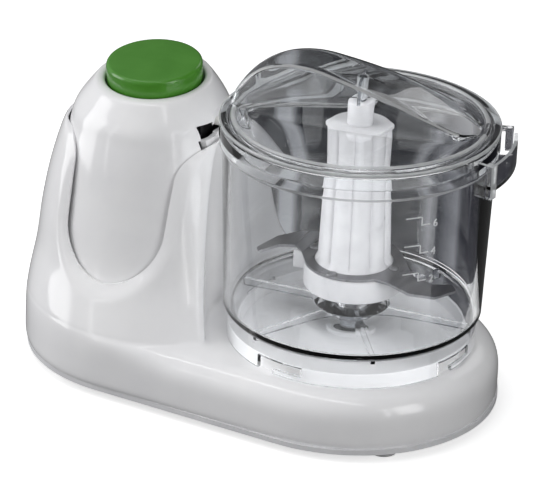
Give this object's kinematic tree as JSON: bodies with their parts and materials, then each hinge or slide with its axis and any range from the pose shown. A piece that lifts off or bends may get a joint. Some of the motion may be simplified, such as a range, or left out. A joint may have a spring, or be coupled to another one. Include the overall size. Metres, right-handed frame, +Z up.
{
  "type": "mini food processor",
  "caption": "Compact food processor with a motor tower beside a clear bowl, an arched clear lid, a blade hub and a round push button on top.",
  "frame": {"origin": "on the table under the middle of the whole object's length and width", "axes": "+Z up, +X from the motor tower towards the bowl, -Y towards the user in front"},
  "size_m": [0.2415, 0.144, 0.1688],
  "materials": {
    "white_housing": "gloss moulded",
    "base_plastic": "satin moulded",
    "foot_rubber": "matt",
    "screw_steel": "zinc plated",
    "gland_plastic": "satin",
    "plated_steel": "zinc plated",
    "end_cap_plastic": "satin",
    "bronze": "sintered",
    "ferrite": "matt",
    "carbon": "matt",
    "laminations": "stacked sheet",
    "copper": "turned",
    "shaft_steel": "ground",
    "black_nylon": "satin",
    "belt_rubber": "matt",
    "coupler_plastic": "satin",
    "hub_plastic": "frosted white",
    "blade_steel": "ground stainless",
    "clear_plastic": "polished clear",
    "button_green": "satin moulded",
    "spring_steel": "drawn wire"
  },
  "bodies": {
    "base": {"outer_shell": "white_housing", "motor_tower": "white_housing", "base_plate": "base_plastic", "feet": "foot_rubber", "base_screws": "screw_steel", "cord_gland": "gland_plastic", "motor_bracket": "plated_steel", "bracket_screws": "screw_steel", "motor_can": "plated_steel", "motor_end_cap": "end_cap_plastic", "motor_bearings": "bronze", "stator_magnets": "ferrite", "motor_brushes": "carbon", "drive_belt": "belt_rubber", "lower_bush": "bronze", "upper_bush": "bronze", "spindle_seal": "belt_rubber", "button_spring": "spring_steel", "main_switch": "black_nylon", "interlock_switch": "black_nylon"},
    "rotor": {"armature": "laminations", "commutator": "copper", "motor_shaft": "shaft_steel", "cooling_fan": "black_nylon", "motor_pulley": "black_nylon"},
    "spindle": {"drive_spindle": "shaft_steel", "drive_pulley": "black_nylon", "drive_coupler": "coupler_plastic", "retaining_clip": "shaft_steel"},
    "blade": {"blade_hub": "hub_plastic", "blade_right": "blade_steel", "blade_left": "blade_steel", "blade_rivets": "blade_steel"},
    "bowl": {"bowl": "clear_plastic", "bowl_boss_ring": "shaft_steel"},
    "lid": {"lid": "clear_plastic", "lid_pin": "shaft_steel"},
    "button": {"button_cap": "button_green", "button_stem": "coupler_plastic", "stem_clip": "shaft_steel"},
    "plunger": {"switch_plunger": "coupler_plastic"},
    "interlock": {"interlock_plunger": "coupler_plastic"}
  },
  "joints": [
    {"name": "spindle_spin", "type": "hinge", "parent": "base", "child": "spindle", "pos_m": [0.04825, 0, 0.03], "axis": [0, 0, 1], "continuous": true},
    {"name": "rotor_spin", "type": "hinge", "parent": "base", "child": "rotor", "pos_m": [-0.06175, 0, 0.05], "axis": [0, 0, 1], "continuous": true},
    {"name": "blade_spin", "type": "hinge", "parent": "base", "child": "blade", "pos_m": [0.04825, 0, 0.1], "axis": [0, 0, 1], "continuous": true},
    {"name": "bowl_turn", "type": "hinge", "parent": "base", "child": "bowl", "pos_m": [0.04825, 0, 0.04], "axis": [0, 0, 1], "range_deg": [0, 15]},
    {"name": "lid_turn", "type": "hinge", "parent": "bowl", "child": "lid", "pos_m": [0.04825, 0, 0.14], "axis": [0, 0, 1], "range_deg": [-25, 0]},
    {"name": "button_press", "type": "slide", "parent": "base", "child": "button", "axis": [0, 0.1132, -0.9936], "range_m": [0, 0.0035], "stiffness_N_per_m": 600, "springref_m": -0.003, "deforming": ["button_spring"]},
    {"name": "plunger_press", "type": "slide", "parent": "base", "child": "plunger", "axis": [0, 0.1132, -0.9936], "range_m": [0, 0.0035]},
    {"name": "interlock_slide", "type": "slide", "parent": "base", "child": "interlock", "axis": [1, 0, 0], "range_m": [0, 0.0015]}
  ],
  "couplings": [
    {"joint": "rotor_spin", "follows": "spindle_spin", "ratio": 3.3333},
    {"joint": "blade_spin", "follows": "spindle_spin", "ratio": 1},
    {"joint": "plunger_press", "follows": "button_press", "ratio": 1},
    {"joint": "interlock_slide", "follows": "bowl_turn", "m_per_rad": 0.0056914}
  ]
}
